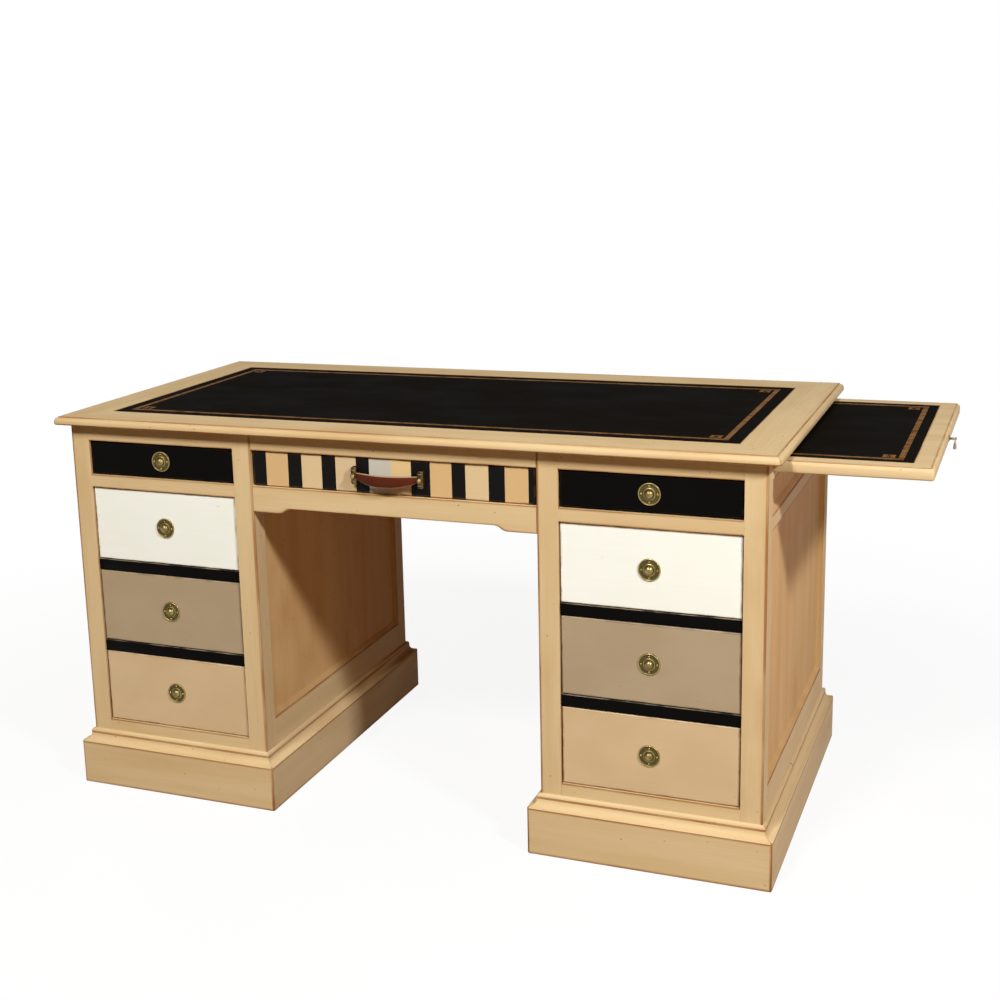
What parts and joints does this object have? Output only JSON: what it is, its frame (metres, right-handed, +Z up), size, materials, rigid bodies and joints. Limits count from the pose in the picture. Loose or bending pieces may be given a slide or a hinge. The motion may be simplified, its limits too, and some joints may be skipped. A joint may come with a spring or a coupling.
{
  "type": "pedestal desk",
  "caption": "Kneehole desk on two pedestals with a leather-lined top, painted drawers, a leather strap handle and sliding side leaves, one of them drawn out.",
  "frame": {"origin": "on the floor under the middle of the desk", "axes": "+X to the right of someone facing the drawers, +Y to the back, +Z up"},
  "size_m": [1.6872, 0.74, 0.78],
  "materials": {
    "pale_wood": "glazed and waxed pale wood",
    "drawer_wood": "plain planed wood",
    "black_lacquer": "satin black lacquer",
    "cream_paint": "satin cream paint",
    "taupe_paint": "satin taupe paint",
    "beige_paint": "satin beige paint",
    "striped_paint": "satin painted stripes",
    "black_leather": "smooth leather with a gilt tooled border",
    "oxblood_leather": "polished leather",
    "antique_brass": "aged brass",
    "dark_bronze": "dark patinated bronze"
  },
  "bodies": {
    "carcase": {"top_front_rail": "pale_wood", "top_back_rail": "pale_wood", "top_left_rail": "pale_wood", "top_right_rail": "pale_wood", "top_panel": "drawer_wood", "top_leather": "black_leather", "left_posts": "pale_wood", "right_posts": "pale_wood", "left_side_rails": "pale_wood", "right_side_rails": "pale_wood", "left_side_panels": "pale_wood", "right_side_panels": "pale_wood", "left_plinth": "pale_wood", "right_plinth": "pale_wood", "front_top_rails": "pale_wood", "front_rails": "pale_wood", "divider_rails": "black_lacquer", "back_rails": "pale_wood", "back_panels": "pale_wood", "front_apron": "pale_wood", "back_apron": "pale_wood", "drawer_runners": "drawer_wood", "leaf_guides": "drawer_wood"},
    "left_lower_drawer": {"left_lower_drawer_front": "beige_paint", "left_lower_drawer_box": "drawer_wood", "left_lower_knob": "antique_brass"},
    "left_middle_drawer": {"left_middle_drawer_front": "taupe_paint", "left_middle_drawer_box": "drawer_wood", "left_middle_knob": "antique_brass"},
    "left_upper_drawer": {"left_upper_drawer_front": "cream_paint", "left_upper_drawer_box": "drawer_wood", "left_upper_knob": "antique_brass"},
    "left_frieze_drawer": {"left_frieze_drawer_front": "black_lacquer", "left_frieze_drawer_box": "drawer_wood", "left_frieze_knob": "antique_brass"},
    "right_lower_drawer": {"right_lower_drawer_front": "beige_paint", "right_lower_drawer_box": "drawer_wood", "right_lower_knob": "antique_brass"},
    "right_middle_drawer": {"right_middle_drawer_front": "taupe_paint", "right_middle_drawer_box": "drawer_wood", "right_middle_knob": "antique_brass"},
    "right_upper_drawer": {"right_upper_drawer_front": "cream_paint", "right_upper_drawer_box": "drawer_wood", "right_upper_knob": "antique_brass"},
    "right_frieze_drawer": {"right_frieze_drawer_front": "black_lacquer", "right_frieze_drawer_box": "drawer_wood", "right_frieze_knob": "antique_brass"},
    "centre_drawer": {"centre_drawer_front": "striped_paint", "centre_drawer_box": "drawer_wood", "handle_brackets": "dark_bronze", "handle_rivets": "antique_brass"},
    "strap_handle": {"handle_strap": "oxblood_leather"},
    "left_leaf": {"left_leaf": "pale_wood", "left_leaf_leather": "black_leather", "left_leaf_pull_post": "antique_brass"},
    "left_leaf_drop": {"left_leaf_pull_drop": "antique_brass"},
    "right_leaf": {"right_leaf": "pale_wood", "right_leaf_leather": "black_leather", "right_leaf_pull_post": "antique_brass"},
    "right_leaf_drop": {"right_leaf_pull_drop": "antique_brass"}
  },
  "joints": [
    {"name": "left_lower_drawer_slide", "type": "slide", "parent": "carcase", "child": "left_lower_drawer", "axis": [0, -1, 0], "range_m": [0, 0.4]},
    {"name": "left_middle_drawer_slide", "type": "slide", "parent": "carcase", "child": "left_middle_drawer", "axis": [0, -1, 0], "range_m": [0, 0.4]},
    {"name": "left_upper_drawer_slide", "type": "slide", "parent": "carcase", "child": "left_upper_drawer", "axis": [0, -1, 0], "range_m": [0, 0.4]},
    {"name": "left_frieze_drawer_slide", "type": "slide", "parent": "carcase", "child": "left_frieze_drawer", "axis": [0, -1, 0], "range_m": [0, 0.4]},
    {"name": "right_lower_drawer_slide", "type": "slide", "parent": "carcase", "child": "right_lower_drawer", "axis": [0, -1, 0], "range_m": [0, 0.4]},
    {"name": "right_middle_drawer_slide", "type": "slide", "parent": "carcase", "child": "right_middle_drawer", "axis": [0, -1, 0], "range_m": [0, 0.4]},
    {"name": "right_upper_drawer_slide", "type": "slide", "parent": "carcase", "child": "right_upper_drawer", "axis": [0, -1, 0], "range_m": [0, 0.4]},
    {"name": "right_frieze_drawer_slide", "type": "slide", "parent": "carcase", "child": "right_frieze_drawer", "axis": [0, -1, 0], "range_m": [0, 0.4]},
    {"name": "centre_drawer_slide", "type": "slide", "parent": "carcase", "child": "centre_drawer", "axis": [0, -1, 0], "range_m": [0, 0.4]},
    {"name": "strap_handle_swing", "type": "hinge", "parent": "centre_drawer", "child": "strap_handle", "pos_m": [0, -0.351, 0.696], "axis": [-1, 0, 0], "range_deg": [-60, 70]},
    {"name": "left_leaf_slide", "type": "slide", "parent": "carcase", "child": "left_leaf", "axis": [-1, 0, 0], "range_m": [0, 0.278]},
    {"name": "left_leaf_drop_swing", "type": "hinge", "parent": "left_leaf", "child": "left_leaf_drop", "pos_m": [-0.7112, 0, 0.7485], "axis": [0, 1, 0], "range_deg": [-20, 90]},
    {"name": "right_leaf_slide", "type": "slide", "parent": "carcase", "child": "right_leaf", "axis": [1, 0, 0], "range_m": [-0.253, 0.025]},
    {"name": "right_leaf_drop_swing", "type": "hinge", "parent": "right_leaf", "child": "right_leaf_drop", "pos_m": [0.9642, 0, 0.7485], "axis": [0, -1, 0], "range_deg": [-20, 90]}
  ]
}
